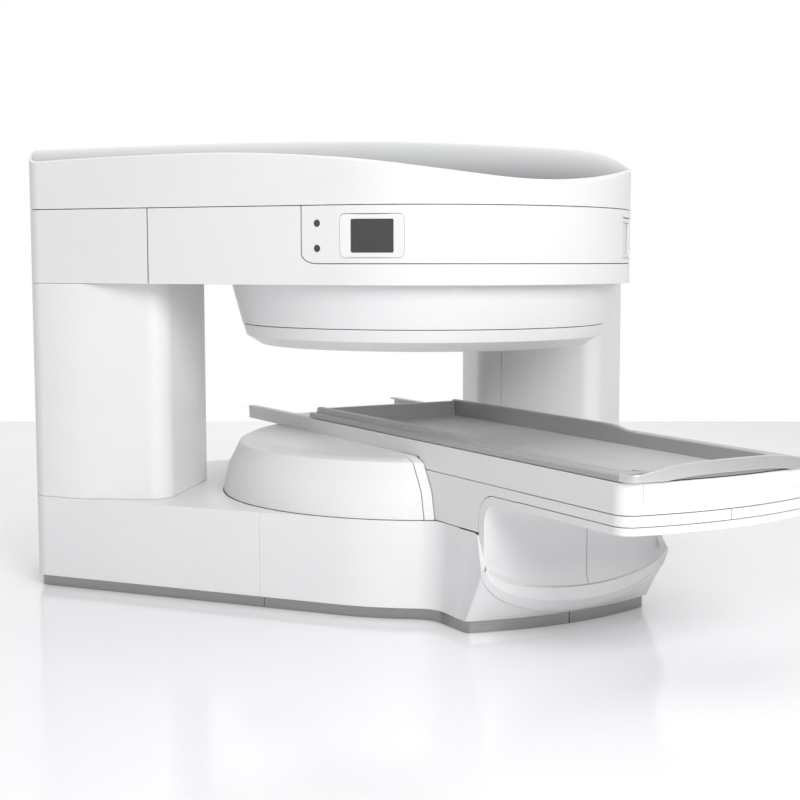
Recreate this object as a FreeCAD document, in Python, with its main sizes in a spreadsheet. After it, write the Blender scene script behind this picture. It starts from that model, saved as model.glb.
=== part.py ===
# Open vertical-field MRI scanner with a sliding patient table, in millimetres.
# Origin: on the floor, on the vertical axis of the magnet poles. +Z up, +X to the right of a
# person who stands at the table's foot end and faces the magnet, the table sticks out towards -Y.
import FreeCAD, Part
import math
import os
import Sketcher

doc = FreeCAD.newDocument("mri_scanner")

# ---------------------------------------------------------------- driving sizes
SIZES = {
    # plan of the gantry: convex outline round five circles
    "front_radius": 944,
    "wing_corner_x": 1546,
    "wing_corner_y": 638,
    "wing_corner_radius": 90,
    "rear_corner_x": 1190,
    "rear_corner_y": 1010,
    "rear_corner_radius": 260,
    # levels above the floor
    "strip_top": 48,
    "deck_top": 407,
    "soffit_level": 1357,
    "lid_seam": 1680,
    "crown_top": 1959,
    # sheet and shell thicknesses, and the gap that shows as a seam
    "cover_wall": 8,
    "seam_gap": 3,
    "half_seam": 1.5,
    "strip_inset": 17,
    "strip_wall": 4,
    # seams
    "wing_seam_x": 1281,
    "panel_seam_x": 842,
    "panel_bottom": 1445,
    "panel_corner": 40,
    "base_seam_y": 280,
    # magnet
    "yoke_inset": 80,
    "lower_yoke_top": 250,
    "upper_yoke_bottom": 1450,
    "upper_yoke_top": 1640,
    "post_x": 1170,
    "post_y": 780,
    "post_radius": 190,
    "pole_radius": 700,
    "pole_height": 160,
    "magnet_radius": 640,
    "magnet_height": 130,
    "coil_radius": 600,
    "gradient_height": 40,
    "transmit_height": 22,
    "bolt_head_radius": 30,
    "bolt_head_height": 18,
    "bolt_offset": 110,
    # column covers: plan outline round five circles
    "column_front_x": 1200,
    "column_front_y": 350,
    "column_front_radius": 100,
    "column_inner_x": 914,
    "column_inner_y": 734,
    "column_inner_radius": 120,
    "column_rear_x": 1050,
    "column_rear_y": 1085,
    "column_rear_radius": 120,
    "column_back_x": 1450,
    "column_back_y": 1120,
    "column_outer_x": 1620,
    "column_outer_y": 619,
    "column_seam_y": 620,
    # lower dome and upper pole cover
    "dome_foot_radius": 927,
    "dome_mid_radius": 907,
    "dome_mid_level": 520,
    "dome_shoulder_radius": 851,
    "dome_shoulder_level": 633,
    "dome_top": 655,
    "dome_flat_radius": 800,
    "trim_width": 38,
    "pole_cover_top_radius": 881,
    "pole_cover_seam_radius": 832,
    "pole_cover_seam": 1175,
    "cap_radius": 813,
    "cap_shoulder": 1121,
    "cap_flat_radius": 745,
    "cap_bottom": 1080,
    # pedestal and bed
    "bed_half_width": 432,
    "blend_radius": 140,
    "foot_front": 1075,
    "foot_bow": 1330,
    "foot_corner": 30,
    "toe_front": 1262,
    "toe_level": 285,
    "smile_radius": 869,
    "smile_level": 170,
    "foot_proud": 62,
    "foot_flare": 31,
    "wall_front": 1263,
    "wall_thickness": 12,
    "panel_front": 1137,
    "panel_back": 740,
    "bed_underside": 537,
    "lower_seam": 565,
    "upper_seam": 608,
    "bed_floor": 656,
    "bed_floor_thickness": 7,
    "bed_top": 718,
    "bed_lip": 37,
    "bed_wall": 10,
    "bed_front": 2075,
    "bed_bow": 1600,
    "bed_corner": 70,
    "bed_rear": 1015,
    "skirt_rear": 690,
    # tabletop
    "table_gap": 2,
    "tray_half_width": 360,
    "tray_top": 690,
    "tray_thickness": 6,
    "tray_front": 1990,
    "tray_rear": 323,
    "rail_top": 745,
    "rail_far_top": 761,
    "rail_step_y": 500,
    "rail_skirt": 22,
    "end_rail_depth": 34,
    "handle_height": 40,
    "handle_thickness": 14,
    "handle_reach": 2098,
    "handle_corner": 55,
    # guides and belt drive
    "guide_x": 240,
    "guide_width": 15,
    "guide_height": 9,
    "guide_front": 1880,
    "guide_rear": 985,
    "block_length": 90,
    "block_pitch": 900,
    "block_first_y": 60,
    "guide_clearance": 0.5,
    "pulley_radius": 30,
    "pulley_height": 12,
    "pulley_front": 1850,
    "pulley_rear": 930,
    "belt_thickness": 3,
    "shaft_radius": 8,
    "shaft_clearance": 0.05,
    "motor_radius": 42,
    "motor_length": 85,
    # displays, lid and smaller pieces
    "dome_lift": 1,
    "trim_rear": 560,
    "wing_seam_rear": 500,
    "column_seam_x": 1300,
    "display_angle": 43.6,
    "display_set": 10,
    "display_level": 1555,
    "bezel_half_width": 133,
    "bezel_half_height": 88,
    "bezel_corner": 22,
    "bezel_depth": 14,
    "screen_half_width": 89,
    "screen_half_height": 67,
    "screen_corner": 6,
    "screen_set": 8,
    "lens_angle": 57.9,
    "lens_low": 1505,
    "lens_high": 1606,
    "lens_radius": 13.5,
    "lens_stand": 2,
    "wave_crest": 1897,
    "wave_saddle": 1766,
    "wave_crest_x": 1150,
    "wave_fall": 75,
    "shoulder_depth": 390,
    "crown_dish": 24,
    "crown_dish_x": 1000,
    "lid_wall_thickness": 12,
    "frame_x": 250,
    "frame_width": 80,
    "frame_front": 1900,
    "frame_leg": 1030,
    "frame_rear": 960,
    "bed_lip_thickness": 6,
    "belt_gap": 0.5,
    "rail_ramp": 120,
    "toe_rise": 90,
    "toe_lean": 50,
    "handle_bow": 1500,
    "handle_top": 785,
    "arch_radius": 3000,
}

sheet = doc.addObject("Spreadsheet::Sheet", "Sizes")
for row, (alias, value) in enumerate(SIZES.items(), start=1):
    sheet.set("A%d" % row, alias)
    sheet.set("B%d" % row, str(value))
    sheet.setAlias("B%d" % row, alias)
doc.recompute()


def split_terms(expression):
    """The signed terms of an expression made of aliases and numbers joined by + and -."""
    return expression.replace("+", " + ").replace("-", " - ").split()


def size(expression):
    """The value of an expression in the sheet's aliases, in millimetres."""
    total, sign = 0.0, 1.0
    for word in split_terms(expression):
        if word in "+-":
            sign = 1.0 if word == "+" else -1.0
            continue
        total += sign * (float(sheet.get(word)) if word[0].isalpha() else float(word))
        sign = 1.0
    return total


def negated(expression):
    """The same expression with every sign turned round."""
    turned = []
    words = split_terms(expression)
    if words[0] not in "+-":
        words = ["+"] + words
    for word in words:
        turned.append({"+": "-", "-": "+"}.get(word, word))
    return "".join(turned)


def bind(item, attribute, expression):
    """Ties a property of a document object to the sheet."""
    terms = ["Sizes." + word if word[0].isalpha() else word for word in split_terms(expression)]
    text = " ".join(terms)
    item.setExpression(attribute, text.lstrip("+ ") if text.startswith("+") else text)


# ---------------------------------------------------------------- sketches and pads
def origin_plane(body, role):
    """One of the body's own three origin planes."""
    for feature in body.Origin.OriginFeatures:
        if feature.Role == role:
            return feature
    raise ValueError(role)


def new_sketch(body, name, role="XY_Plane", height=None):
    """An empty sketch on one of the body's own planes, lifted along the plane's normal."""
    sketch = body.newObject("Sketcher::SketchObject", name)
    sketch.AttachmentSupport = [(origin_plane(body, role), "")]
    sketch.MapMode = "FlatFace"
    if height is not None:
        bind(sketch, "AttachmentOffset.Base.z", height)
    return sketch


def place_point(sketch, geometry, point, x_term, y_term):
    """Dimensions a sketch point from the origin; a term of None leaves it to tangency."""
    for kind, axis, term in (("DistanceX", -2, x_term), ("DistanceY", -1, y_term)):
        if term is None:
            continue
        if term == "0":
            sketch.addConstraint(Sketcher.Constraint("PointOnObject", geometry, point, axis))
            continue
        value = size(term)
        ends = (geometry, point, -1, 1) if value < 0 else (-1, 1, geometry, point)
        term = negated(term) if value < 0 else term
        index = sketch.addConstraint(Sketcher.Constraint(kind, *ends, abs(value)))
        bind(sketch, "Constraints[%d]" % index, term)


def round_outline(sketch, circles):
    """A closed outline that runs round circles, joined by the lines tangent to both.

    Each circle is (x term, y term, y value, radius term, turn): a turn of 1 keeps the circle on
    the left, -1 on the right. Where neighbouring circles touch, their arcs meet directly.
    """
    spots = []
    for x_term, y_term, y_value, radius_term, turn in circles:
        y = size(y_term) if y_term is not None else y_value
        spots.append((FreeCAD.Vector(size(x_term), y, 0), turn * size(radius_term)))
    count = len(spots)
    joints = []
    for i in range(count):
        centre, bend = spots[i]
        other, other_bend = spots[(i + 1) % count]
        along = other - centre
        lean = (other_bend - bend) / along.Length
        touching = abs(lean) > 1 - 1e-9
        rest = 0.0 if touching else math.sqrt(1 - lean * lean)
        unit = along / along.Length
        left = FreeCAD.Vector(-unit.y, unit.x, 0)
        normal = unit * max(-1.0, min(1.0, lean)) + left * rest
        joints.append((centre - normal * bend, other - normal * other_bend, touching))
    arcs = []
    for i in range(count):
        centre, bend = spots[i]
        start = joints[i - 1][1] - centre
        end = joints[i][0] - centre
        first = math.atan2(start.y, start.x)
        last = math.atan2(end.y, end.x)
        if bend < 0:
            first, last = last, first
        if last < first:
            last += 2 * math.pi
        circle = Part.Circle(centre, FreeCAD.Vector(0, 0, 1), abs(bend))
        arcs.append(sketch.addGeometry(Part.ArcOfCircle(circle, first, last), False))
    for i in range(count):
        entry = 1 if spots[(i + 1) % count][1] > 0 else 2
        leave = 2 if spots[i][1] > 0 else 1
        follow = arcs[(i + 1) % count]
        if joints[i][2]:
            sketch.addConstraint(Sketcher.Constraint("Tangent", arcs[i], leave, follow, entry))
            continue
        line = sketch.addGeometry(Part.LineSegment(joints[i][0], joints[i][1]), False)
        sketch.addConstraint(Sketcher.Constraint("Tangent", arcs[i], leave, line, 1))
        sketch.addConstraint(Sketcher.Constraint("Tangent", line, 2, follow, entry))
    for arc, (x_term, y_term, _, radius_term, _) in zip(arcs, circles):
        place_point(sketch, arc, 3, x_term, y_term)
        index = sketch.addConstraint(Sketcher.Constraint("Radius", arc, size(radius_term)))
        bind(sketch, "Constraints[%d]" % index, radius_term)


def outline_pad(name, circles, bottom, top):
    """A prism on the round outline between two levels."""
    body = doc.addObject("PartDesign::Body", name)
    sketch = new_sketch(body, name + "_outline", height=bottom)
    round_outline(sketch, circles)
    pad = body.newObject("PartDesign::Pad", name + "_pad")
    pad.Profile = sketch
    bind(pad, "Length", top + negated(bottom))
    return body


def gantry_circles(inset):
    """The five circles of the gantry's outline, anticlockwise, moved in by the inset."""
    wing = "wing_corner_radius" + negated(inset)
    rear = "rear_corner_radius" + negated(inset)
    return [
        ("0", "0", 0, "front_radius" + negated(inset), 1),
        ("wing_corner_x", "wing_corner_y", 0, wing, 1),
        ("rear_corner_x", "rear_corner_y", 0, rear, 1),
        ("-rear_corner_x", "rear_corner_y", 0, rear, 1),
        ("-wing_corner_x", "wing_corner_y", 0, wing, 1),
    ]


def below(x, reach):
    """The y of a point in front of the origin, beside x, at the given reach from it."""
    return -math.sqrt(reach * reach - x * x)


def base_circles(inset, flare="0"):
    """The gantry's outline with the pedestal grown out of its front by concave blends."""
    front = "front_radius" + negated(inset)
    blend = "blend_radius+" + inset
    side = "bed_half_width+" + flare + negated(inset)
    blend_y = below(size(side + "+" + blend), size(front + "+" + blend))
    apex = "foot_front+foot_proud+" + flare + negated(inset)
    bow_y = size("foot_bow" + negated(apex))
    corner_x = side + "-foot_corner"
    corner_y = bow_y + below(size(corner_x), size("foot_bow-foot_corner"))
    blend_x = side + "+" + blend
    wing = "wing_corner_radius" + negated(inset)
    rear = "rear_corner_radius" + negated(inset)
    return [
        (negated(blend_x), None, blend_y, blend, -1),
        (negated(corner_x), None, corner_y, "foot_corner", 1),
        ("0", "foot_bow" + negated(apex), 0, "foot_bow", 1),
        (corner_x, None, corner_y, "foot_corner", 1),
        (blend_x, None, blend_y, blend, -1),
        ("0", "0", 0, front, 1),
        ("wing_corner_x", "wing_corner_y", 0, wing, 1),
        ("rear_corner_x", "rear_corner_y", 0, rear, 1),
        ("-rear_corner_x", "rear_corner_y", 0, rear, 1),
        ("-wing_corner_x", "wing_corner_y", 0, wing, 1),
        ("0", "0", 0, front, 1),
    ]


def strip_circles(inset):
    """The base's outline with its foot flared out at the floor."""
    return base_circles(inset, "foot_flare")


def column_circles(side, inset):
    """The five circles of a column cover's outline, anticlockwise; side -1 is the left column."""
    corners = [
        ("column_front_x", "column_front_y", "column_front_radius"),
        ("column_outer_x", "column_outer_y", "column_front_radius"),
        ("column_back_x", "column_back_y", "column_rear_radius"),
        ("column_rear_x", "column_rear_y", "column_rear_radius"),
        ("column_inner_x", "column_inner_y", "column_inner_radius"),
    ]
    if side < 0:
        corners = [corners[0]] + corners[:0:-1]
    circles = []
    for x, y, radius in corners:
        circles.append((negated(x) if side < 0 else x, y, 0, radius + negated(inset), 1))
    return circles


def bed_circles(inset, rear):
    """The bed's outline: straight sides, rounded corners and a gently bowed foot end."""
    corner = "bed_corner" + negated(inset)
    bow = "bed_bow" + negated(inset)
    corner_x = "bed_half_width-bed_corner"
    corner_y = size("bed_bow-bed_front") + below(size(corner_x), size("bed_bow-bed_corner"))
    small = "2"
    rear_y = rear + "-2"
    side_x = "bed_half_width-2" + negated(inset)
    return [
        (negated(corner_x), None, corner_y, corner, 1),
        ("0", "bed_bow-bed_front", 0, bow, 1),
        (corner_x, None, corner_y, corner, 1),
        (side_x, rear_y, 0, small, 1),
        (negated(side_x), rear_y, 0, small, 1),
    ]


# ---------------------------------------------------------------- primitives and booleans
NODES = {}


def node(name, item):
    """Marks an object as a finished sub-part and names it."""
    item.Label = name
    NODES[name] = item
    return item


def box(name, low, high):
    """A block between two corners, each given as three expressions."""
    item = doc.addObject("Part::Box", name)
    for axis, side, start, end in zip("xyz", ("Length", "Width", "Height"), low, high):
        bind(item, "Placement.Base." + axis, start)
        bind(item, side, end + negated(start))
    return item


def cylinder(name, radius, bottom, top, x="0", y="0"):
    """An upright cylinder between two levels."""
    item = doc.addObject("Part::Cylinder", name)
    bind(item, "Radius", radius)
    bind(item, "Height", top + negated(bottom))
    bind(item, "Placement.Base.x", x)
    bind(item, "Placement.Base.y", y)
    bind(item, "Placement.Base.z", bottom)
    return item


def cut(name, base, tool):
    item = doc.addObject("Part::Cut", name)
    item.Base = base
    item.Tool = tool
    return item


def common(name, base, tool):
    item = doc.addObject("Part::Common", name)
    item.Base = base
    item.Tool = tool
    return item


def fuse(name, items):
    item = doc.addObject("Part::MultiFuse", name)
    item.Shapes = items
    return item


def group(name, items):
    """Separate solids that share one node."""
    item = doc.addObject("Part::Compound", name)
    item.Links = items
    return item


def turned(name, points):
    """A body turned about the Z axis from a closed outline of (radius, level) points."""
    body = doc.addObject("PartDesign::Body", name)
    sketch = new_sketch(body, name + "_section", "XZ_Plane")
    count = len(points)
    places = [FreeCAD.Vector(size(x), size(z), 0) for x, z in points]
    for i in range(count):
        sketch.addGeometry(Part.LineSegment(places[i], places[(i + 1) % count]), False)
    for i in range(count):
        sketch.addConstraint(Sketcher.Constraint("Coincident", i, 2, (i + 1) % count, 1))
    for i, (x, z) in enumerate(points):
        place_point(sketch, i, 1, x, z)
    turn = body.newObject("PartDesign::Revolution", name + "_turn")
    turn.Profile = sketch
    turn.ReferenceAxis = (sketch, ["V_Axis"])
    turn.Angle = 360
    return body


def side_pad(name, points, low, high):
    """A plate with a (y, z) outline, between two places along X."""
    body = doc.addObject("PartDesign::Body", name)
    sketch = new_sketch(body, name + "_section", "YZ_Plane", low)
    count = len(points)
    places = [FreeCAD.Vector(size(y), size(z), 0) for y, z in points]
    for i in range(count):
        sketch.addGeometry(Part.LineSegment(places[i], places[(i + 1) % count]), False)
    for i in range(count):
        sketch.addConstraint(Sketcher.Constraint("Coincident", i, 2, (i + 1) % count, 1))
    for i, (y, z) in enumerate(points):
        place_point(sketch, i, 1, y, z)
    pad = body.newObject("PartDesign::Pad", name + "_pad")
    pad.Profile = sketch
    bind(pad, "Length", high + negated(low))
    return body


# ---------------------------------------------------------------- magnet
FAR = "3000"
lower_plate = outline_pad("lower_plate", gantry_circles("yoke_inset"), "0", "lower_yoke_top")
upper_plate = outline_pad(
    "upper_plate", gantry_circles("yoke_inset"), "upper_yoke_bottom", "upper_yoke_top"
)
for side, x in (("left", "-post_x"), ("right", "post_x")):
    post = cylinder(
        "yoke_post_" + side, "post_radius", "lower_yoke_top", "upper_yoke_bottom", x, "post_y"
    )
    node("yoke_post_" + side, post)

lower_levels = ["lower_yoke_top"]
upper_levels = ["upper_yoke_bottom"]
for height in ("pole_height", "magnet_height", "gradient_height", "transmit_height"):
    lower_levels.append(lower_levels[-1] + "+" + height)
    upper_levels.append(upper_levels[-1] + "-" + height)
lower_pole = cylinder("lower_pole", "pole_radius", "lower_yoke_top-1", lower_levels[1])
upper_pole = cylinder("upper_pole", "pole_radius", upper_levels[1], "upper_yoke_bottom+1")
node("lower_yoke", fuse("lower_yoke", [lower_plate, lower_pole]))
node("upper_yoke", fuse("upper_yoke", [upper_plate, upper_pole]))
stack = (
    ("magnet", "magnet_radius"),
    ("gradient_coil", "coil_radius"),
    ("transmit_coil", "coil_radius"),
)
for index, (name, radius) in enumerate(stack, start=1):
    low, high = lower_levels[index], lower_levels[index + 1]
    node("lower_" + name, cylinder("lower_" + name, radius, low, high))
    low, high = upper_levels[index + 1], upper_levels[index]
    node("upper_" + name, cylinder("upper_" + name, radius, low, high))

bolts = []
for x in ("-post_x", "post_x"):
    for dx, dy in ((1, 1), (-1, 1), (-1, -1), (1, -1)):
        place_x = x + ("+" if dx > 0 else "-") + "bolt_offset"
        place_y = "post_y" + ("+" if dy > 0 else "-") + "bolt_offset"
        top = "upper_yoke_top+bolt_head_height"
        bolts.append(
            cylinder("yoke_bolt", "bolt_head_radius", "upper_yoke_top", top, place_x, place_y)
        )
node("yoke_bolts", group("yoke_bolts", bolts))

# ---------------------------------------------------------------- kick strips
halves = {
    "left": (("-" + FAR, "-" + FAR, "-10"), ("-half_seam", FAR, FAR)),
    "right": (("half_seam", "-" + FAR, "-10"), (FAR, FAR, FAR)),
}
front_zone = (("-" + FAR, "-" + FAR, "-10"), (FAR, "-base_seam_y-half_seam", FAR))
rear_zone = (("-" + FAR, "-base_seam_y+half_seam", "-10"), (FAR, FAR, FAR))


def ring(name, circles, inset, wall, bottom, top):
    """A wall that follows an outline, open above and below."""
    outer = outline_pad(name + "_outer", circles(inset), bottom, top)
    inner = outline_pad(name + "_inner", circles(inset + "+" + wall), bottom, top)
    return cut(name, outer, inner)


def hood(name, circles, wall, bottom, top):
    """A cover with walls and a closed top."""
    outer = outline_pad(name + "_outer", circles("0"), bottom, top)
    inner = outline_pad(name + "_inner", circles(wall), bottom, top + negated(wall))
    return cut(name, outer, inner)


strip = ring("strip", strip_circles, "strip_inset", "strip_wall", "0", "strip_top")
for zone_name, zone in (("kick_strip_front_", front_zone), ("kick_strip_", rear_zone)):
    for side, half in halves.items():
        name = zone_name + side
        part = common(name + "_zone", strip, box(name + "_box", *zone))
        node(name, common(name, part, box(name + "_half", *half)))

# ---------------------------------------------------------------- base covers
deck = hood("deck", base_circles, "cover_wall", "strip_top", "deck_top")
dome_hole = cylinder("dome_hole", "dome_foot_radius+seam_gap", "deck_top-50", "deck_top+50")
bed_notch = box(
    "bed_notch",
    ("-bed_half_width+cover_wall+1", "-" + FAR, "deck_top-50"),
    ("bed_half_width-cover_wall-1", "-dome_mid_radius+100", "deck_top+50"),
)


def post_holes(name, level):
    """Clearance round both yoke posts where they pass through a cover."""
    holes = []
    for x in ("-post_x", "post_x"):
        low, high = level + "-50", level + "+50"
        holes.append(cylinder(name, "post_radius+seam_gap", low, high, x, "post_y"))
    return holes


deck_holes = fuse("deck_holes", [dome_hole, bed_notch] + post_holes("deck_post_hole", "deck_top"))
deck_open = cut("deck_open", deck, deck_holes)
foot_cut = box(
    "foot_cut", ("-" + FAR, "-" + FAR, "-10"), (FAR, "-panel_front", "toe_level+400")
)
base = cut("base", deck_open, foot_cut)
for zone_name, zone in (("base_front_cover_", front_zone), ("base_cover_", rear_zone)):
    for side, half in halves.items():
        name = zone_name + side
        part = common(name + "_zone", base, box(name + "_box", *zone))
        node(name, common(name, part, box(name + "_half", *half)))

# ---------------------------------------------------------------- lid
def wave(x):
    """The level of the lid wall's top edge: a low saddle in front, a crest over each wing."""
    crest_x = size("wave_crest_x")
    reach = min(abs(x), crest_x)
    over = max(0.0, abs(x) - crest_x)
    dip = size("wave_crest-wave_saddle") * (1 + math.cos(math.pi * reach / crest_x)) / 2
    return size("wave_crest") - dip - size("wave_fall") * (over / 1000.0) ** 2


def inside_front(x, y):
    """How far a point lies inside the gantry's front arc and flanks."""
    radius = size("front_radius")
    corner_x, corner_y = size("wing_corner_x"), size("wing_corner_y")
    corner_r = size("wing_corner_radius")
    reach = math.hypot(corner_x, corner_y)
    turn = math.acos((radius - corner_r) / reach)
    lean = math.atan2(corner_y, corner_x) - turn
    normal_x, normal_y = math.cos(lean), math.sin(lean)
    along = abs(x) * -normal_y + y * normal_x
    if along < 0 and y < 0:
        return radius - math.hypot(x, y)
    return radius - (abs(x) * normal_x + y * normal_y)


def roof(x):
    """The level of the crown's roof, which is dished a little across the middle."""
    dish_x = size("crown_dish_x")
    swing = math.pi * min(abs(x), dish_x) / dish_x
    return size("crown_top") - size("crown_dish") * (1 + math.cos(swing)) / 2


def crown(x, y):
    """The level of the crown: it rises from the wave edge and eases out to the roof."""
    step = min(1.0, inside_front(x, y) / size("shoulder_depth"))
    rise = 1 - (1 - step) ** 4 if step > 0 else 4 * step
    return wave(x) + (roof(x) - wave(x)) * rise


def lifted(name, drop):
    """A solid that holds everything above the crown's surface, or above it less a drop."""
    steps_x, steps_y = 60, 44
    reach = size("wing_corner_x+wing_corner_radius+60")
    front, back = -size("front_radius+60"), size("rear_corner_y+rear_corner_radius+60")
    grid = []
    for i in range(steps_x + 1):
        x = -reach + 2 * reach * i / steps_x
        row = []
        for j in range(steps_y + 1):
            y = front + (back - front) * j / steps_y
            row.append(FreeCAD.Vector(x, y, crown(x, y) - drop))
        grid.append(row)
    surface = Part.BSplineSurface()
    surface.interpolate(grid)
    item = doc.addObject("Part::Feature", name)
    item.Shape = surface.toShape().extrude(FreeCAD.Vector(0, 0, 600))
    return item


above_crown = lifted("above_crown", 0)
above_lining = lifted("above_lining", size("cover_wall"))
lid_wall = ring("lid_wall", gantry_circles, "0", "lid_wall_thickness", "lid_seam", "crown_top+20")
node("lid_cover", cut("lid_cover", lid_wall, above_crown))
crown_block = outline_pad(
    "crown_block", gantry_circles("lid_wall_thickness+1"), "lid_seam+20", "crown_top+20"
)
crown_shell = common("crown_shell", crown_block, above_lining)
node("crown_cover", cut("crown_cover", crown_shell, above_crown))

# ---------------------------------------------------------------- lower dome and its trims
dome_outer = [
    ("dome_foot_radius", "deck_top+dome_lift"),
    ("dome_mid_radius", "dome_mid_level"),
    ("dome_shoulder_radius", "dome_shoulder_level"),
    ("dome_flat_radius", "dome_top"),
    ("0", "dome_top"),
]
dome_inner = [
    ("0", "dome_top-cover_wall"),
    ("dome_flat_radius-cover_wall", "dome_top-cover_wall"),
    ("dome_shoulder_radius-cover_wall", "dome_shoulder_level-cover_wall"),
    ("dome_mid_radius-cover_wall", "dome_mid_level"),
    ("dome_foot_radius-cover_wall", "deck_top+dome_lift"),
]
dome = turned("dome", dome_outer + dome_inner)
trim_reach = "bed_half_width+trim_width"
dome_notch = box(
    "dome_notch",
    (negated(trim_reach) + "-seam_gap", "-" + FAR, "0"),
    (trim_reach + "+seam_gap", "-trim_rear", FAR),
)
node("dome_cover", cut("dome_cover", dome, dome_notch))
trim_zones = {
    "left": (negated(trim_reach), "-bed_half_width-seam_gap"),
    "right": ("bed_half_width+seam_gap", trim_reach),
}
for side, (low, high) in trim_zones.items():
    zone = box("trim_zone_" + side, (low, "-" + FAR, "0"), (high, "-trim_rear-seam_gap", FAR))
    node("dome_trim_" + side, common("dome_trim_" + side, dome, zone))

# ---------------------------------------------------------------- upper body
upper = ring("upper", gantry_circles, "0", "cover_wall", "soffit_level", "lid_seam-seam_gap")


def front_pad(name, x_reach, low, high, corner):
    """A block with a rounded outline seen from the front, from the pole axis towards -Y."""
    body = doc.addObject("PartDesign::Body", name)
    sketch = new_sketch(body, name + "_face", "XZ_Plane")
    x = x_reach + negated(corner)
    left, right = negated(x), x
    bottom, top = low + "+" + corner, high + negated(corner)
    round_outline(
        sketch,
        [
            (left, bottom, 0, corner, 1),
            (right, bottom, 0, corner, 1),
            (right, top, 0, corner, 1),
            (left, top, 0, corner, 1),
        ],
    )
    pad = body.newObject("PartDesign::Pad", name + "_pad")
    pad.Profile = sketch
    pad.Length = float(FAR)
    return body


panel_zone = front_pad(
    "panel_zone", "panel_seam_x", "panel_bottom", "lid_seam+panel_corner", "panel_corner"
)
panel_hole = front_pad(
    "panel_hole",
    "panel_seam_x+seam_gap",
    "panel_bottom-seam_gap",
    "lid_seam+panel_corner",
    "panel_corner+seam_gap",
)
wing_box = box(
    "wing_box", ("-wing_seam_x", "-" + FAR, "0"), ("wing_seam_x", "wing_seam_rear", FAR)
)
wing_hole = box(
    "wing_hole",
    ("-wing_seam_x-seam_gap", "-" + FAR, "0"),
    ("wing_seam_x+seam_gap", "wing_seam_rear", FAR),
)
upper_front = common("upper_front", upper, wing_box)
node("upper_cover_front", cut("upper_cover_front", upper_front, panel_hole))
upper_wings = cut("upper_wings", upper, wing_hole)
for side, half in halves.items():
    name = "upper_cover_" + side
    node(name, common(name, upper_wings, box(name + "_half", *half)))

# ---------------------------------------------------------------- displays and lenses
panel_blank = common("panel_blank", upper, panel_zone)


def on_front(body, angle, sign):
    """Swings a piece made on the -Y side round the pole axis to its place on the front."""
    terms = ("" if sign > 0 else "-") + "Sizes." + angle
    body.Placement = FreeCAD.Placement(
        FreeCAD.Vector(0, 0, 0), FreeCAD.Rotation(FreeCAD.Vector(0, 0, 1), sign * size(angle))
    )
    body.setExpression("Placement.Rotation.Angle", terms)
    return body


def plate(name, width, height, corner, back, front):
    """A rounded plate that faces -Y, centred on the display's level."""
    body = doc.addObject("PartDesign::Body", name)
    sketch = new_sketch(body, name + "_face", "XZ_Plane", back)
    x = width + negated(corner)
    low = "display_level" + negated(height) + "+" + corner
    high = "display_level+" + height + negated(corner)
    spots = ((negated(x), low), (x, low), (x, high), (negated(x), high))
    round_outline(sketch, [(sx, sz, 0, corner, 1) for sx, sz in spots])
    pad = body.newObject("PartDesign::Pad", name + "_pad")
    pad.Profile = sketch
    bind(pad, "Length", front + negated(back))
    return body


lenses = []
panel_cuts = []
face = "front_radius-display_set"
for side, sign in (("left", -1), ("right", 1)):
    frame = plate(
        "bezel_" + side, "bezel_half_width", "bezel_half_height", "bezel_corner",
        face + "-bezel_depth", face,
    )
    window = plate(
        "bezel_window_" + side, "screen_half_width", "screen_half_height", "screen_corner",
        face + "-bezel_depth-5", face + "+5",
    )
    hole = plate(
        "bezel_hole_" + side, "bezel_half_width+1", "bezel_half_height+1", "bezel_corner+1",
        face + "-bezel_depth-30", face + "+60",
    )
    glass = plate(
        "glass_" + side, "screen_half_width-1", "screen_half_height-1", "screen_corner-1",
        face + "-bezel_depth", face + "-screen_set",
    )
    frame = cut("display_bezel_" + side, frame, window)
    for piece in (frame, hole, glass):
        on_front(piece, "display_angle", sign)
    node("display_bezel_" + side, frame)
    node("display_glass_" + side, glass)
    panel_cuts.append(hole)
    for level in ("lens_low", "lens_high"):
        for item_name, radius, back, front in (
            ("lens", "lens_radius", "front_radius-20", "front_radius+lens_stand"),
            ("lens_hole", "lens_radius+1", "front_radius-60", "front_radius+60"),
        ):
            body = doc.addObject("PartDesign::Body", item_name)
            sketch = new_sketch(body, item_name + "_face", "XZ_Plane", back)
            circle = Part.Circle(
                FreeCAD.Vector(0, size(level), 0), FreeCAD.Vector(0, 0, 1), size(radius)
            )
            sketch.addGeometry(circle, False)
            place_point(sketch, 0, 3, "0", level)
            index = sketch.addConstraint(Sketcher.Constraint("Radius", 0, size(radius)))
            bind(sketch, "Constraints[%d]" % index, radius)
            pad = body.newObject("PartDesign::Pad", item_name + "_pad")
            pad.Profile = sketch
            bind(pad, "Length", front + negated(back))
            on_front(body, "lens_angle", sign)
            (lenses if item_name == "lens" else panel_cuts).append(body)
node("indicator_lenses", group("indicator_lenses", lenses))
node("control_panel", cut("control_panel", panel_blank, fuse("panel_cuts", panel_cuts)))

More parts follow.
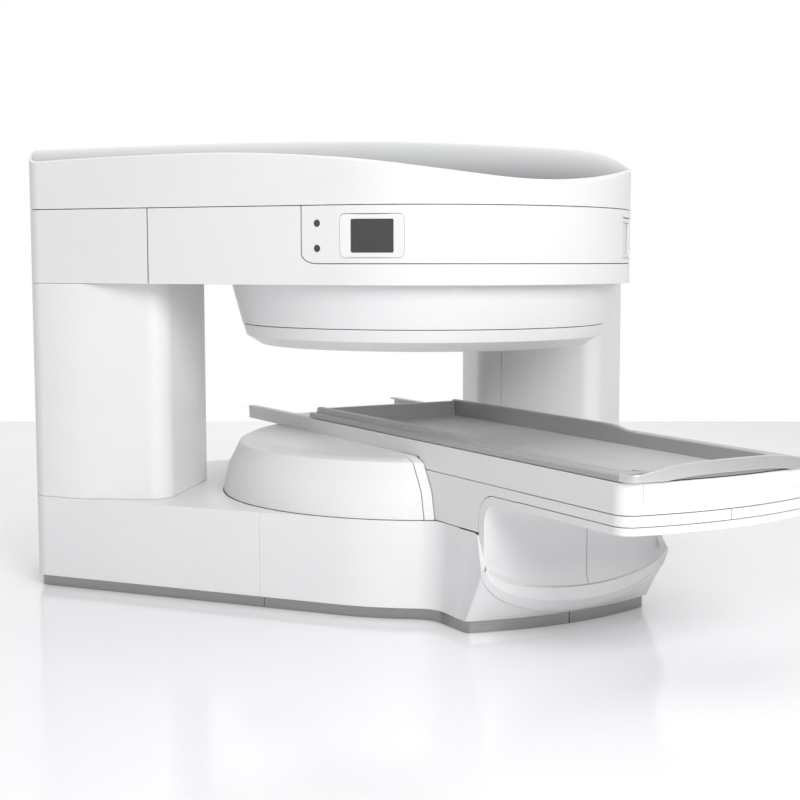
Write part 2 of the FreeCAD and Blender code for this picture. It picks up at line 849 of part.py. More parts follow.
# ---------------------------------------------------------------- soffit and upper pole cover
soffit_blank = outline_pad(
    "soffit_blank", gantry_circles("cover_wall+1"), "soffit_level", "soffit_level+cover_wall"
)
soffit_hole = cylinder(
    "soffit_hole", "pole_cover_top_radius+seam_gap", "soffit_level-50", "soffit_level+50"
)
soffit_holes = fuse(
    "soffit_holes", [soffit_hole] + post_holes("soffit_post_hole", "soffit_level")
)
node("upper_soffit", cut("upper_soffit", soffit_blank, soffit_holes))
pole_cover = turned(
    "upper_pole_cover",
    [
        ("pole_cover_top_radius", "soffit_level"),
        ("pole_cover_top_radius-cover_wall", "soffit_level"),
        ("pole_cover_seam_radius-cover_wall", "pole_cover_seam"),
        ("pole_cover_seam_radius", "pole_cover_seam"),
    ],
)
node("upper_pole_cover", pole_cover)
pole_cap = turned(
    "upper_pole_cap",
    [
        ("pole_cover_seam_radius-seam_gap", "pole_cover_seam-seam_gap"),
        ("pole_cover_seam_radius-seam_gap-cover_wall", "pole_cover_seam-seam_gap"),
        ("cap_radius-cover_wall", "cap_shoulder"),
        ("cap_flat_radius", "cap_bottom+cover_wall"),
        ("0", "cap_bottom+cover_wall"),
        ("0", "cap_bottom"),
        ("cap_flat_radius", "cap_bottom"),
        ("cap_radius", "cap_shoulder"),
    ],
)
node("upper_pole_cap", pole_cap)

# ---------------------------------------------------------------- column covers
for side_name, side in (("left", -1), ("right", 1)):
    shells = []
    for layer, inset in (("outer", "0"), ("inner", "cover_wall")):
        bottom, top = "deck_top+dome_lift", "soffit_level-dome_lift"
        name = "column_%s_%s" % (layer, side_name)
        block = outline_pad(name + "_gantry", gantry_circles(inset), bottom, top)
        shaft = outline_pad(name + "_shaft", column_circles(side, inset), bottom, top)
        shells.append(common(name, block, shaft))
    cover = cut("column_" + side_name, *shells)
    if side < 0:
        rear_x = ("-column_seam_x", "-half_seam")
    else:
        rear_x = ("half_seam", "column_seam_x")
    rear = box(
        "column_rear_zone_" + side_name, (rear_x[0], "column_seam_y", "0"), (rear_x[1], FAR, FAR)
    )
    grown = box(
        "column_front_hole_" + side_name,
        (rear_x[0] + ("-seam_gap" if side < 0 else ""), "column_seam_y-seam_gap", "0"),
        (rear_x[1] + ("+seam_gap" if side > 0 else ""), FAR, FAR),
    )
    name = "column_rear_cover_" + side_name
    node(name, common(name, cover, rear))
    name = "column_front_cover_" + side_name
    node(name, cut(name, cover, grown))

# ---------------------------------------------------------------- pedestal
def bowed_pad(name, apex, bow, bottom, top):
    """A block of the bed's width whose -Y face is bowed out to an apex."""
    block = box(
        name + "_block", ("-bed_half_width", negated(apex) + "-1", bottom),
        ("bed_half_width", "-panel_back", top),
    )
    disc = cylinder(name + "_disc", bow, bottom, top, "0", bow + negated(apex))
    return common(name, block, disc)


smile = doc.addObject("Part::Cylinder", "smile")
bind(smile, "Radius", "smile_radius")
smile.Height = float(FAR)
smile.Placement = FreeCAD.Placement(
    FreeCAD.Vector(0, 0, 0), FreeCAD.Rotation(FreeCAD.Vector(1, 0, 0), 90)
)
bind(smile, "Placement.Base.z", "smile_level+smile_radius")
wall_outer = bowed_pad("wall_outer", "wall_front", "foot_bow", "smile_level-50", "bed_underside-1")
wall_inner = bowed_pad(
    "wall_inner", "wall_front-wall_thickness", "foot_bow-wall_thickness",
    "smile_level-60", "bed_underside+10",
)
wall = common("wall", cut("wall_shell", wall_outer, wall_inner), smile)
wall_front_only = box(
    "wall_front_only", ("-bed_half_width+bed_wall+1", "-" + FAR, "0"),
    ("bed_half_width-bed_wall-1", "-panel_front-seam_gap", FAR),
)
wall_face = common("wall_face", wall, wall_front_only)
for side, half in halves.items():
    name = "pedestal_front_" + side
    node(name, common(name, wall_face, box(name + "_half", *half)))

toe_top = bowed_pad("toe_top", "toe_front", "foot_bow", "strip_top+toe_rise", "toe_level")
toe_low = bowed_pad(
    "toe_low", "toe_front-toe_lean", "foot_bow", "strip_top+1", "strip_top+toe_rise"
)
toe_cut = box(
    "toe_cut", ("-" + FAR, "-panel_front-seam_gap", "-10"), (FAR, FAR, FAR)
)
toe = cut("toe", fuse("toe_block", [toe_top, toe_low]), smile)
node("toe_cover", cut("toe_cover", toe, toe_cut))

# ---------------------------------------------------------------- bed
bed_outer = outline_pad("bed_outer", bed_circles("0", "bed_rear"), "bed_floor-1", "bed_top")
bed_inner = outline_pad(
    "bed_inner", bed_circles("bed_wall", "bed_rear+50"), "bed_floor+bed_floor_thickness", "bed_top+9"
)
channel_shell = cut("channel_shell", bed_outer, bed_inner)
skirt_outer = outline_pad(
    "skirt_outer", bed_circles("0", "-skirt_rear"), "upper_seam", "bed_floor"
)
skirt_inner = outline_pad(
    "skirt_inner", bed_circles("bed_wall", "-skirt_rear+50"), "upper_seam-5", "bed_floor-1"
)
skirt = cut("skirt", skirt_outer, skirt_inner)
lips = []
for low, high in (
    ("-bed_half_width+1", "-bed_half_width+bed_lip"),
    ("bed_half_width-bed_lip", "bed_half_width-1"),
):
    lips.append(
        box("bed_lip", (low, "-tray_front", "bed_top-bed_lip_thickness"), (high, "bed_rear", "bed_top"))
    )
idler_pin = cylinder(
    "idler_pin", "shaft_radius", "bed_floor+1", "bed_floor+bed_floor_thickness+pulley_height+4",
    "0", "pulley_rear",
)
shaft_hole = cylinder(
    "shaft_hole", "shaft_radius+4", "bed_floor-50", "bed_floor+50", "0", "-pulley_front"
)
channel = fuse("channel", [channel_shell, skirt, idler_pin] + lips)
node("bed_channel", cut("bed_channel", channel, shaft_hole))

belly_outer = outline_pad(
    "belly_outer", bed_circles("0", "-panel_back-50"), "lower_seam+seam_gap", "upper_seam-seam_gap"
)
belly_inner = outline_pad(
    "belly_inner", bed_circles("bed_wall", "-panel_back+50"), "lower_seam", "upper_seam"
)
belly = cut("belly", belly_outer, belly_inner)
for side, half in halves.items():
    sign = -1 if side == "left" else 1
    outline = [
        ("-panel_back", "deck_top+seam_gap"),
        ("-panel_front", "deck_top+seam_gap"),
        ("-panel_front", "bed_underside-60"),
        ("-panel_front-30", "bed_underside-15"),
        ("-panel_front-80", "lower_seam+5"),
        ("-panel_front-80", "upper_seam-seam_gap"),
        ("-panel_back", "upper_seam-seam_gap"),
    ]
    if sign < 0:
        low, high = "-bed_half_width", "-bed_half_width+bed_wall"
    else:
        low, high = "bed_half_width-bed_wall", "bed_half_width"
    panel = side_pad("side_plate_" + side, outline, low, high)
    name = "bed_side_panel_" + side
    half_belly = common(name + "_belly", belly, box(name + "_half", *half))
    node(name, fuse(name, [half_belly, panel]))

lip_block = outline_pad(
    "lip_block", bed_circles("0", "-panel_front-90"), "bed_underside", "lower_seam"
)
node("bed_lower_cover", lip_block)

beams = []
for low, high in (("-frame_x-frame_width", "-frame_x"), ("frame_x", "frame_x+frame_width")):
    beams.append(
        box("bed_beam", (low, "-frame_front", "lower_seam+1"), (high, "-frame_rear", "bed_floor-2"))
    )
cross = box(
    "bed_cross_beam", ("-frame_x-1", "-frame_rear-frame_width", "lower_seam+1"),
    ("frame_x+1", "-frame_rear", "bed_floor-2"),
)
legs = []
for low, high in (("-frame_x-frame_width", "-frame_x"), ("frame_x", "frame_x+frame_width")):
    legs.append(
        box("bed_leg", (low, "-frame_leg", "0"), (high, "-frame_rear", "lower_seam+2"))
    )
node("bed_frame", fuse("bed_frame", beams + [cross] + legs))

# ---------------------------------------------------------------- guides and drive
rails = []
floor = "bed_floor+bed_floor_thickness"
for low, high in (("-guide_x-guide_width", "-guide_x"), ("guide_x", "guide_x+guide_width")):
    rails.append(
        box("guide_rail", (low, "-guide_front", floor), (high, "guide_rear", floor + "+guide_height"))
    )
node("guide_rails", group("guide_rails", rails))
motor_body = cylinder(
    "motor_body", "motor_radius", "bed_floor-2-motor_length", "bed_floor-2", "0", "-pulley_front"
)
motor_shaft = cylinder(
    "motor_shaft", "shaft_radius", "bed_floor-3", floor + "+pulley_height+4", "0", "-pulley_front"
)
node("drive_motor", fuse("drive_motor", [motor_body, motor_shaft]))
for name, y in (("drive_pulley", "-pulley_front"), ("idler_pulley", "pulley_rear")):
    wheel = cylinder(name + "_wheel", "pulley_radius", floor + "+1", floor + "+1+pulley_height", "0", y)
    bore = cylinder(
        name + "_bore", "shaft_radius+shaft_clearance", floor, floor + "+3+pulley_height", "0", y
    )
    node(name, cut(name, wheel, bore))
belt_low, belt_high = floor + "+2", floor + "+pulley_height"
belt_shapes = []
for layer, radius in (
    ("outer", "pulley_radius+belt_gap+belt_thickness"),
    ("inner", "pulley_radius+belt_gap"),
):
    low = belt_low if layer == "outer" else floor
    high = belt_high if layer == "outer" else floor + "+pulley_height+5"
    circles = [("0", "-pulley_front", 0, radius, 1), ("0", "pulley_rear", 0, radius, 1)]
    belt_shapes.append(outline_pad("belt_" + layer, circles, low, high))
node("drive_belt", cut("drive_belt", *belt_shapes))

# ---------------------------------------------------------------- tabletop
tray = box(
    "tray", ("-tray_half_width", "-tray_front", "tray_top-tray_thickness"),
    ("tray_half_width", "tray_rear-end_rail_depth", "tray_top"),
)
node("tabletop", tray)
rail_outline = [
    ("-tray_front", "bed_top+table_gap"),
    ("tray_rear", "bed_top+table_gap"),
    ("tray_rear", "rail_far_top"),
    ("-rail_step_y", "rail_far_top"),
    ("-rail_step_y-rail_ramp", "rail_top"),
    ("-tray_front", "rail_top"),
]
skirt_x = "tray_half_width+rail_skirt"
for side, sign in (("left", -1), ("right", 1)):
    if sign < 0:
        low, high, edge = "-bed_half_width", "-tray_half_width-0.5", negated(skirt_x)
        foot_low, foot_high = edge, "-tray_half_width-0.5"
    else:
        low, high, edge = "tray_half_width+0.5", "bed_half_width", skirt_x
        foot_low, foot_high = "tray_half_width+0.5", edge
    cap = side_pad("rail_cap_" + side, rail_outline, low, high)
    foot = box(
        "rail_foot_" + side, (foot_low, "-tray_front", "tray_top-tray_thickness"),
        (foot_high, "tray_rear", "bed_top+table_gap+1"),
    )
    name = "table_rail_" + side
    node(name, fuse(name, [cap, foot]))
end_rail = box(
    "end_rail", ("-tray_half_width", "tray_rear-end_rail_depth+0.5", "tray_top-tray_thickness"),
    ("tray_half_width", "tray_rear", "rail_far_top"),
)
node("table_end_rail", end_rail)

handle_low, handle_high = "rail_top-handle_height", "rail_top"


def handle_circles(inset):
    corner = "handle_corner" + negated(inset)
    bow = "handle_bow" + negated(inset)
    corner_x = "bed_half_width-handle_corner"
    corner_y = size("handle_bow-handle_reach") + below(
        size(corner_x), size("handle_bow-handle_corner")
    )
    side_x = "bed_half_width-2" + negated(inset)
    rear_y = "-tray_front-2-0.5"
    return [
        (negated(corner_x), None, corner_y, corner, 1),
        ("0", "handle_bow-handle_reach", 0, bow, 1),
        (corner_x, None, corner_y, corner, 1),
        (side_x, rear_y, 0, "2", 1),
        (negated(side_x), rear_y, 0, "2", 1),
    ]


band_outer = outline_pad("band_outer", handle_circles("0"), "bed_top+table_gap", "handle_top")
band_inner = outline_pad(
    "band_inner", handle_circles("handle_thickness"), "bed_top-20", "handle_top+20"
)
back_trim = box(
    "back_trim", ("-bed_half_width+handle_thickness", "-tray_front-30", "0"),
    ("bed_half_width-handle_thickness", "0", FAR),
)
band = cut("band", cut("band_ring", band_outer, band_inner), back_trim)
arch_low = doc.addObject("Part::Cylinder", "arch_low")
bind(arch_low, "Radius", "arch_radius")
arch_low.Height = 400
arch_low.Placement = FreeCAD.Placement(
    FreeCAD.Vector(0, 0, 0), FreeCAD.Rotation(FreeCAD.Vector(1, 0, 0), 90)
)
bind(arch_low, "Placement.Base.y", "-tray_front+60")
bind(arch_low, "Placement.Base.z", "handle_top-arch_radius")
arched = common("arched", band, arch_low)
arch_under = doc.addObject("Part::Cylinder", "arch_under")
bind(arch_under, "Radius", "arch_radius")
arch_under.Height = 400
arch_under.Placement = arch_low.Placement
bind(arch_under, "Placement.Base.y", "-tray_front+60")
bind(arch_under, "Placement.Base.z", "handle_top-arch_radius-handle_height")
front_only = box(
    "front_only", ("-bed_half_width+20", "-" + FAR, "0"), ("bed_half_width-20", "-tray_front-20", FAR)
)
arch_void = common("arch_void", arch_under, front_only)
node("table_handle", cut("table_handle", arched, arch_void))

blocks = []
block_low = floor + "+guide_height+guide_clearance"
for low, high in (
    ("-guide_x-guide_width-10", "-guide_x+10"),
    ("guide_x-10", "guide_x+guide_width+10"),
):
    for y in ("-block_first_y", "-block_first_y-block_pitch"):
        blocks.append(
            box(
                "carriage_block", (low, y + "-block_length", block_low),
                (high, y, "tray_top-tray_thickness-0.5"),
            )
        )
node("carriage_blocks", group("carriage_blocks", blocks))

# ---------------------------------------------------------------- check and export
doc.recompute()
for item in doc.Objects:
    if "Invalid" in item.State or "Error" in item.State:
        raise RuntimeError("%s is %s" % (item.Name, item.State))
os.makedirs("parts", exist_ok=True)
for name, item in NODES.items():
    shape = item.Shape
    if shape.isNull() or not shape.isValid() or not shape.Solids:
        raise RuntimeError("%s has no valid solid" % name)
    shape.exportStep(os.path.join("parts", name + ".step"))
    print(name, len(shape.Solids), round(shape.Volume / 1e6, 2))
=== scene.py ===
"""An open magnet scanner: two round poles on a pair of columns, and a bed that slides between them."""

import math

import bmesh
import bpy
from mathutils import Matrix, Vector


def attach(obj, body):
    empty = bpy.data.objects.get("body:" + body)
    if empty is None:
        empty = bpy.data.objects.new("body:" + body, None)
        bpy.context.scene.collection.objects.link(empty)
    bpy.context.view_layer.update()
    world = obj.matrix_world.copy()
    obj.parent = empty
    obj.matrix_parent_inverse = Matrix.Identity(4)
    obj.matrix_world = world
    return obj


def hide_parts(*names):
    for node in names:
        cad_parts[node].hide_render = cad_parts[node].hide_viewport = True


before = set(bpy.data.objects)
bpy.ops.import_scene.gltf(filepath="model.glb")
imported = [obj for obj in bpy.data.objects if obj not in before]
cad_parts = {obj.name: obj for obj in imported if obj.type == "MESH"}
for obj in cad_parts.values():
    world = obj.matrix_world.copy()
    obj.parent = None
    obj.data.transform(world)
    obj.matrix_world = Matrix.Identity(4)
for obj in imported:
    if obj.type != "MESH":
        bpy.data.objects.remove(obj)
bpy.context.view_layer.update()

# ---------------------------------------------------------------- the room
# A pale polished floor that ends at a white wall, and a lens at the height of a standing
# person's chest. A large soft light hangs in front, with fainter ones behind, on the
# left and overhead.
LENS_PLACE = Vector((-3.4364, -5.7527, 1.46))
LENS_TILT = math.radians(90 - 5.556)
LENS_TURN = math.radians(-30.524)
LENS_LENGTH = 64.93
LENS_SHIFT = -0.01875
WALL_STRENGTH = 1.0
ROOM_STRENGTH = 0.21
FLOOR_REACH = 13.0
FLOOR_SPAN = 40.0
FLOOR_DROP = 0.0005

lens = bpy.data.cameras.new("lens")
lens.lens = LENS_LENGTH
lens.sensor_width = 36
lens.shift_x = LENS_SHIFT
lens_stand = bpy.data.objects.new("lens", lens)
lens_stand.location = LENS_PLACE
lens_stand.rotation_euler = (LENS_TILT, 0, LENS_TURN)
bpy.context.scene.collection.objects.link(lens_stand)
bpy.context.scene.camera = lens_stand
bpy.context.scene.view_settings.view_transform = "Standard"


def soft_light(name, place, target, side, power, mirrored_in_gloss):
    """A square soft box that faces a point."""
    light = bpy.data.lights.new(name, "AREA")
    light.size = side
    light.energy = power
    stand = bpy.data.objects.new(name, light)
    stand.location = place
    facing = Vector(target) - Vector(place)
    stand.rotation_euler = facing.to_track_quat("-Z", "Y").to_euler()
    stand.visible_glossy = mirrored_in_gloss
    bpy.context.scene.collection.objects.link(stand)


soft_light("front_light", (-1.3, -7.8, 4.4), (0, 0, 0.9), 4.0, 520, True)
soft_light("rear_light", (2.5, 7.0, 4.5), (0, 0, 1.0), 4.5, 100, False)
soft_light("left_light", (-7.0, 0.8, 2.6), (0, 0.4, 0.9), 3.0, 40, False)
soft_light("ceiling_light", (0, 2.5, 8.0), (0, 2.5, 0), 10.0, 420, False)

world = bpy.data.worlds.new("room_light")
bpy.context.scene.world = world
world.use_nodes = True
room_nodes = world.node_tree.nodes
room_nodes.clear()
seen = room_nodes.new("ShaderNodeBackground")
seen.inputs["Strength"].default_value = WALL_STRENGTH
seen.inputs["Color"].default_value = (1, 1, 1, 1)
cast = room_nodes.new("ShaderNodeBackground")
cast.inputs["Color"].default_value = (0.97, 0.98, 1.0, 1)
cast.inputs["Strength"].default_value = ROOM_STRENGTH
ray = room_nodes.new("ShaderNodeLightPath")
choice = room_nodes.new("ShaderNodeMixShader")
either = room_nodes.new("ShaderNodeMath")
either.operation = "MAXIMUM"
room_out = room_nodes.new("ShaderNodeOutputWorld")
world.node_tree.links.new(ray.outputs["Is Camera Ray"], either.inputs[0])
world.node_tree.links.new(ray.outputs["Is Glossy Ray"], either.inputs[1])
world.node_tree.links.new(either.outputs[0], choice.inputs[0])
world.node_tree.links.new(cast.outputs[0], choice.inputs[1])
world.node_tree.links.new(seen.outputs[0], choice.inputs[2])
world.node_tree.links.new(choice.outputs[0], room_out.inputs[0])


class Wire:
    """One output of a shader node. Sums and products of wires add Math nodes."""

    def __init__(self, tree, socket):
        self.tree = tree
        self.socket = socket

    def add(self, kind, settings, inputs, output=0):
        """Adds a node of any kind: its settings first, then the value or wire of each input."""
        made = self.tree.nodes.new("ShaderNode" + kind)
        for key, value in settings.items():
            setattr(made, key, value)
        for key, value in inputs.items():
            if isinstance(value, Wire):
                self.tree.links.new(value.socket, made.inputs[key])
            else:
                made.inputs[key].default_value = value
        return Wire(self.tree, made.outputs[output]) if made.outputs else None

    def maths(self, operation, other):
        return self.add("Math", {"operation": operation}, {0: self, 1: other})

    def __add__(self, other):
        return self.maths("ADD", other)

    def __mul__(self, other):
        return self.maths("MULTIPLY", other)

    __radd__ = __add__
    __rmul__ = __mul__


def begin(name):
    """A new finish, and the wire of its piece's own coordinates, in metres."""
    finish = bpy.data.materials.new(name)
    finish.use_nodes = True
    finish.node_tree.nodes.clear()
    coordinates = finish.node_tree.nodes.new("ShaderNodeTexCoord")
    return finish, Wire(finish.node_tree, coordinates.outputs["Object"])


def grey(level):
    return (level, level, level, 1)


def grain(at, scale, stretch=(1, 1, 1), detail=2.0):
    """Noise from 0 to 1. The scale is in waves to the metre, and stretch multiplies it along each axis."""
    moved = at.add("Mapping", {"vector_type": "POINT"}, {"Vector": at, "Scale": stretch})
    return at.add("TexNoise", {}, {"Vector": moved, "Scale": scale, "Detail": detail})


def blend_colours(at, factor, first, second):
    """The first colour where factor is 0 and the second where it is 1."""
    return at.add(
        "Mix",
        {"data_type": "RGBA", "clamp_factor": True},
        {"Factor": factor, "A": first, "B": second},
        "Result",
    )


def finish_surface(at, inputs, bump=None, bump_height=0.0, bump_strength=0.3):
    """The surface shader, with relief where bump is given."""
    if bump is not None:
        inputs["Normal"] = at.add(
            "Bump", {}, {"Height": bump, "Distance": bump_height, "Strength": bump_strength}
        )
    surface = at.add("BsdfPrincipled", {}, inputs)
    at.add("OutputMaterial", {}, {"Surface": surface})


floor_finish, at = begin("polished_floor")
cloud = grain(at, 0.8)
finish_surface(
    at,
    {
        "Base Color": blend_colours(at, cloud, (0.90, 0.90, 0.92, 1), (0.94, 0.94, 0.95, 1)),
        "Roughness": 0.10 + cloud * 0.08,
        "Specular IOR Level": 0.45,
    },
)
sheet = bmesh.new()
bmesh.ops.create_grid(sheet, x_segments=1, y_segments=1, size=FLOOR_SPAN / 2)
bmesh.ops.translate(sheet, verts=sheet.verts, vec=(0, FLOOR_REACH - FLOOR_SPAN / 2, -FLOOR_DROP))
bmesh.ops.rotate(sheet, verts=sheet.verts, matrix=Matrix.Rotation(LENS_TURN, 3, "Z"))
bmesh.ops.translate(sheet, verts=sheet.verts, vec=(LENS_PLACE.x, LENS_PLACE.y, 0))
floor_mesh = bpy.data.meshes.new("floor")
sheet.to_mesh(floor_mesh)
floor_mesh.materials.append(floor_finish)
floor = bpy.data.objects.new("floor", floor_mesh)
bpy.context.scene.collection.objects.link(floor)

# ---------------------------------------------------------------- white covers
# The covers are moulded in thick plastic, sprayed satin white with a very fine texture,
# and clipped on to the magnet so that a narrow joint shows between each two.
COVER_NODES = (
    "base_cover_left",
    "base_cover_right",
    "dome_cover",
    "dome_trim_left",
    "dome_trim_right",
    "upper_cover_front",
    "upper_cover_left",
    "upper_cover_right",
    "lid_cover",
    "control_panel",
    "column_front_cover_left",
    "column_front_cover_right",
    "column_rear_cover_left",
    "column_rear_cover_right",
    "bed_channel",
    "upper_soffit",
    "upper_pole_cover",
    "upper_pole_cap",
)
MERGE = 1e-5
FLAT = math.radians(0.6)
SHARP = math.radians(24)
COVER_EDGE = 0.002
PLATE_EDGE = 0.0015


def satin_white(name, low, high):
    """Sprayed satin paint whose white wanders a little between two levels."""
    finish, at = begin(name)
    drift = grain(at, 1.7, detail=3.0)
    speck = grain(at, 900)
    finish_surface(
        at,
        {
            "Base Color": blend_colours(at, drift, (low, low, low * 1.01, 1), grey(high)),
            "Roughness": 0.36 + drift * 0.08 + speck * 0.06,
            "Coat Weight": 0.12,
            "Coat Roughness": 0.12,
        },
        bump=speck,
        bump_height=0.0004,
        bump_strength=0.12,
    )
    return finish


white_paint = satin_white("satin_white", 0.78, 0.83)


def settle(name, mesh, body, slot, finish, *replaced):
    """Makes a finished piece of a bmesh: shading, finish, body, and the nodes it stands for. The slot is
    not used.
    """
    for face in mesh.faces:
        face.smooth = True
    for edge in mesh.edges:
        edge.smooth = len(edge.link_faces) == 2 and edge.calc_face_angle(0) < SHARP
    data = bpy.data.meshes.new(name)
    mesh.to_mesh(data)
    mesh.free()
    data.materials.append(finish)
    piece = bpy.data.objects.new(name, data)
    bpy.context.scene.collection.objects.link(piece)
    weighted = piece.modifiers.new("even_shading", "WEIGHTED_NORMAL")
    weighted.keep_sharp = True
    weighted.weight = 80
    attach(piece, body)
    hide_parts(*replaced)
    return piece


def packed_shape(node):
    """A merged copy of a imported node's mesh, its flat faces whole again where they have no holes."""
    mesh = bmesh.new()
    mesh.from_mesh(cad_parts[node].data)
    bmesh.ops.remove_doubles(mesh, verts=mesh.verts, dist=MERGE)
    if node != "bed_channel":
        bmesh.ops.dissolve_limit(
            mesh,
            angle_limit=FLAT,
            verts=mesh.verts,
            edges=mesh.edges,
            use_dissolve_boundaries=False,
        )
    return mesh


def rounded(mesh, corners, width, segments, affect="EDGES", clamp=False):
    """Rounds some edges, or some corners of a flat face."""
    bmesh.ops.bevel(
        mesh,
        geom=corners,
        offset=width,
        offset_type="OFFSET",
        segments=segments,
        profile=0.5,
        affect=affect,
        clamp_overlap=clamp,
        material=-1,
    )


def turning(mesh, angle):
    """The edges where two faces meet at more than an angle."""
    return [
        edge
        for edge in mesh.edges
        if len(edge.link_faces) == 2 and edge.calc_face_angle(0) > angle
    ]


def round_edges(mesh, width, segments=2):
    """Rounds every edge that turns sharply."""
    rounded(mesh, turning(mesh, SHARP), width, segments)


def cut_across(mesh, y, towards):
    """Cuts a cover across the bed, and drops what lies towards +y or -y, given as 1 or -1."""
    bmesh.ops.bisect_plane(
        mesh,
        geom=mesh.verts[:] + mesh.edges[:] + mesh.faces[:],
        plane_co=(0, y, 0),
        plane_no=(0, towards, 0),
        clear_outer=True,
    )


for node in COVER_NODES:
    mesh = packed_shape(node)
    round_edges(mesh, COVER_EDGE)
    settle(node + "_moulding", mesh, "gantry", "white_cover", white_paint, node)

# ---------------------------------------------------------------- pedestal
# The bed's pedestal grows out of the base. Its skirt flares out to the kick strip, and a
# toe moulding with a crescent ledge leans out under two hollow-fronted wall mouldings.
FLARE = 0.0195
FLARE_START = -0.70
FLARE_END = -1.0
FLARE_TOP = 0.407
STRIP_TOP = 0.049
SKIRT_REAR = -1.0
SKIRT_CORNER = 0.022
SKIRT_CORNER_HEIGHT = 0.15
SKIRT_WALL = 0.005
LEDGE_WALL = 0.004
GROOVE = 0.003

for side in ("left", "right"):
    mesh = packed_shape("base_front_cover_" + side)
    cut_across(mesh, SKIRT_REAR, -1)
    round_edges(mesh, COVER_EDGE)
    for vertex in mesh.verts:
        along = (FLARE_START - vertex.co.y) / (FLARE_START - FLARE_END)
        along = min(1.0, max(0.0, along))
        low = (FLARE_TOP - vertex.co.z) / (FLARE_TOP - STRIP_TOP)
        ease = along * along * (3 - 2 * along)
        vertex.co.x += math.copysign(FLARE * ease * low, vertex.co.x)
    name = "base_front_moulding_" + side
    settle(name, mesh, "gantry", "white_cover", white_paint, "base_front_cover_" + side)


def lofted(rows, towards, mesh=None):
    """A skin bridged from each row of points to the next, facing a direction."""
    skin = mesh or bmesh.new()
    chains = []
    for row in rows:
        points = [skin.verts.new(point) for point in row]
        chains.append([skin.edges.new(pair) for pair in zip(points, points[1:])])
    faces = []
    for near, far in zip(chains, chains[1:]):
        faces += bmesh.ops.bridge_loops(skin, edges=near + far)["faces"]
    bmesh.ops.recalc_face_normals(skin, faces=faces)
    facing = sum((face.normal * face.calc_area() for face in faces), Vector())
    if facing.dot(Vector(towards)) < 0:
        bmesh.ops.reverse_faces(skin, faces=faces)
    return skin


def thicken(piece, depth):
    """Gives a skin its wall, inwards."""
    wall = piece.modifiers.new("wall", "SOLIDIFY")
    wall.thickness = depth
    wall.offset = -1
    piece.modifiers.move(len(piece.modifiers) - 1, 0)


SWEEP = [math.radians(-90 + 180 * step / 40) for step in range(41)]
SWEEP_MIDDLE = 20


def crescent(half, side_y, middle_y, tip_z, drop):
    """A curve across the pedestal: part of an ellipse that sags by drop below its tips."""
    return [
        (
            half * math.sin(turn),
            middle_y + (side_y - middle_y) * math.sin(turn) ** 2,
            tip_z - drop * math.cos(turn),
        )
        for turn in SWEEP
    ]


def mirrored(points):
    return [(-x, y, z) for x, y, z in reversed(points)]


hem = crescent(0.4535, -1.081, -1.157, STRIP_TOP, 0)
hem_side = [(-0.4535, y, STRIP_TOP) for y in (SKIRT_REAR, -1.03, -1.05, -1.06, -1.07)]
brim = crescent(0.461, -1.205, -1.19, 0.266, 0.200)
brim_side = [
    (-0.434, SKIRT_REAR, 0.405),
    (-0.434, -1.110, 0.405),
    (-0.436, -1.137, 0.401),
    (-0.448, -1.170, 0.335),
    (-0.457, -1.195, 0.290),
]
skirt = lofted(
    (hem_side + hem + mirrored(hem_side), brim_side + brim + mirrored(brim_side)), (0, -1, 0)
)
for side in (-1, 1):
    flange = [(-side * x, y, z) for x, y, z in brim_side[2:] + brim[:1]]
    inner = [(side * 0.424, y, z) for x, y, z in brim_side[2:] + brim[:1]]
    lofted((flange, inner), (0, -1, 1), skirt)
bmesh.ops.remove_doubles(skirt, verts=skirt.verts, dist=MERGE)
turned = turning(skirt, SHARP)
front_corners = [edge for edge in turned if edge.calc_length() > SKIRT_CORNER_HEIGHT]
rounded(skirt, front_corners, SKIRT_CORNER, 5, clamp=True)
skirt_piece = settle("toe_skirt", skirt, "gantry", "white_cover", white_paint, "toe_cover")
thicken(skirt_piece, SKIRT_WALL)

BACK_LEVEL = 0.2870
BACK_SAG = 0.106
ledge_low = crescent(0.4595, -1.206, -1.194, 0.2695, 0.200)
ledge_foot = crescent(0.4590, -1.200, -1.190, 0.2700, 0.200)
ledge_mid = crescent(0.450, -1.222, -1.250, 0.2755, 0.157)
ledge_crease = crescent(0.4495, -1.220, -1.247, 0.2765, 0.156)
ledge_rise = crescent(0.4490, -1.222, -1.250, 0.2775, 0.155)
ledge_brow = crescent(0.442, -1.219, -1.270, 0.2850, 0.108)
ledge_lip = crescent(0.4415, -1.216, -1.270, 0.2865, 0.1065)
ledge_back = crescent(0.441, -1.212, -1.262, BACK_LEVEL, BACK_SAG)
ledge = lofted(
    (
        ledge_foot,
        ledge_low,
        ledge_mid,
        ledge_crease,
        ledge_rise,
        ledge_brow,
        ledge_lip,
        ledge_back,
    ),
    (0, -1, 0),
)
ledge_piece = settle("toe_ledge", ledge, "gantry", "white_cover", white_paint)
thicken(ledge_piece, LEDGE_WALL)

WALL_HALF = 0.4305
WALL_SIDE = -1.178
WALL_MIDDLE = -1.261
UNDERSIDE = 0.5368
WALL_BEND = 0.0875
HALF_JOINT = 0.0015


def wall_row(side, forward, level):
    """One level of the hollow front: forward of the wall, at a height above the ledge's back."""
    row = []
    for turn in SWEEP[:SWEEP_MIDDLE] + [math.asin(-HALF_JOINT / WALL_HALF)]:
        x = WALL_HALF * math.sin(turn)
        y = WALL_MIDDLE + (WALL_SIDE - WALL_MIDDLE) * math.sin(turn) ** 2 - forward
        back_z = BACK_LEVEL - BACK_SAG * math.cos(turn)
        z = back_z + (UNDERSIDE - WALL_BEND - back_z) * level if level <= 1 else level
        row.append((side * x, y, z))
    return row


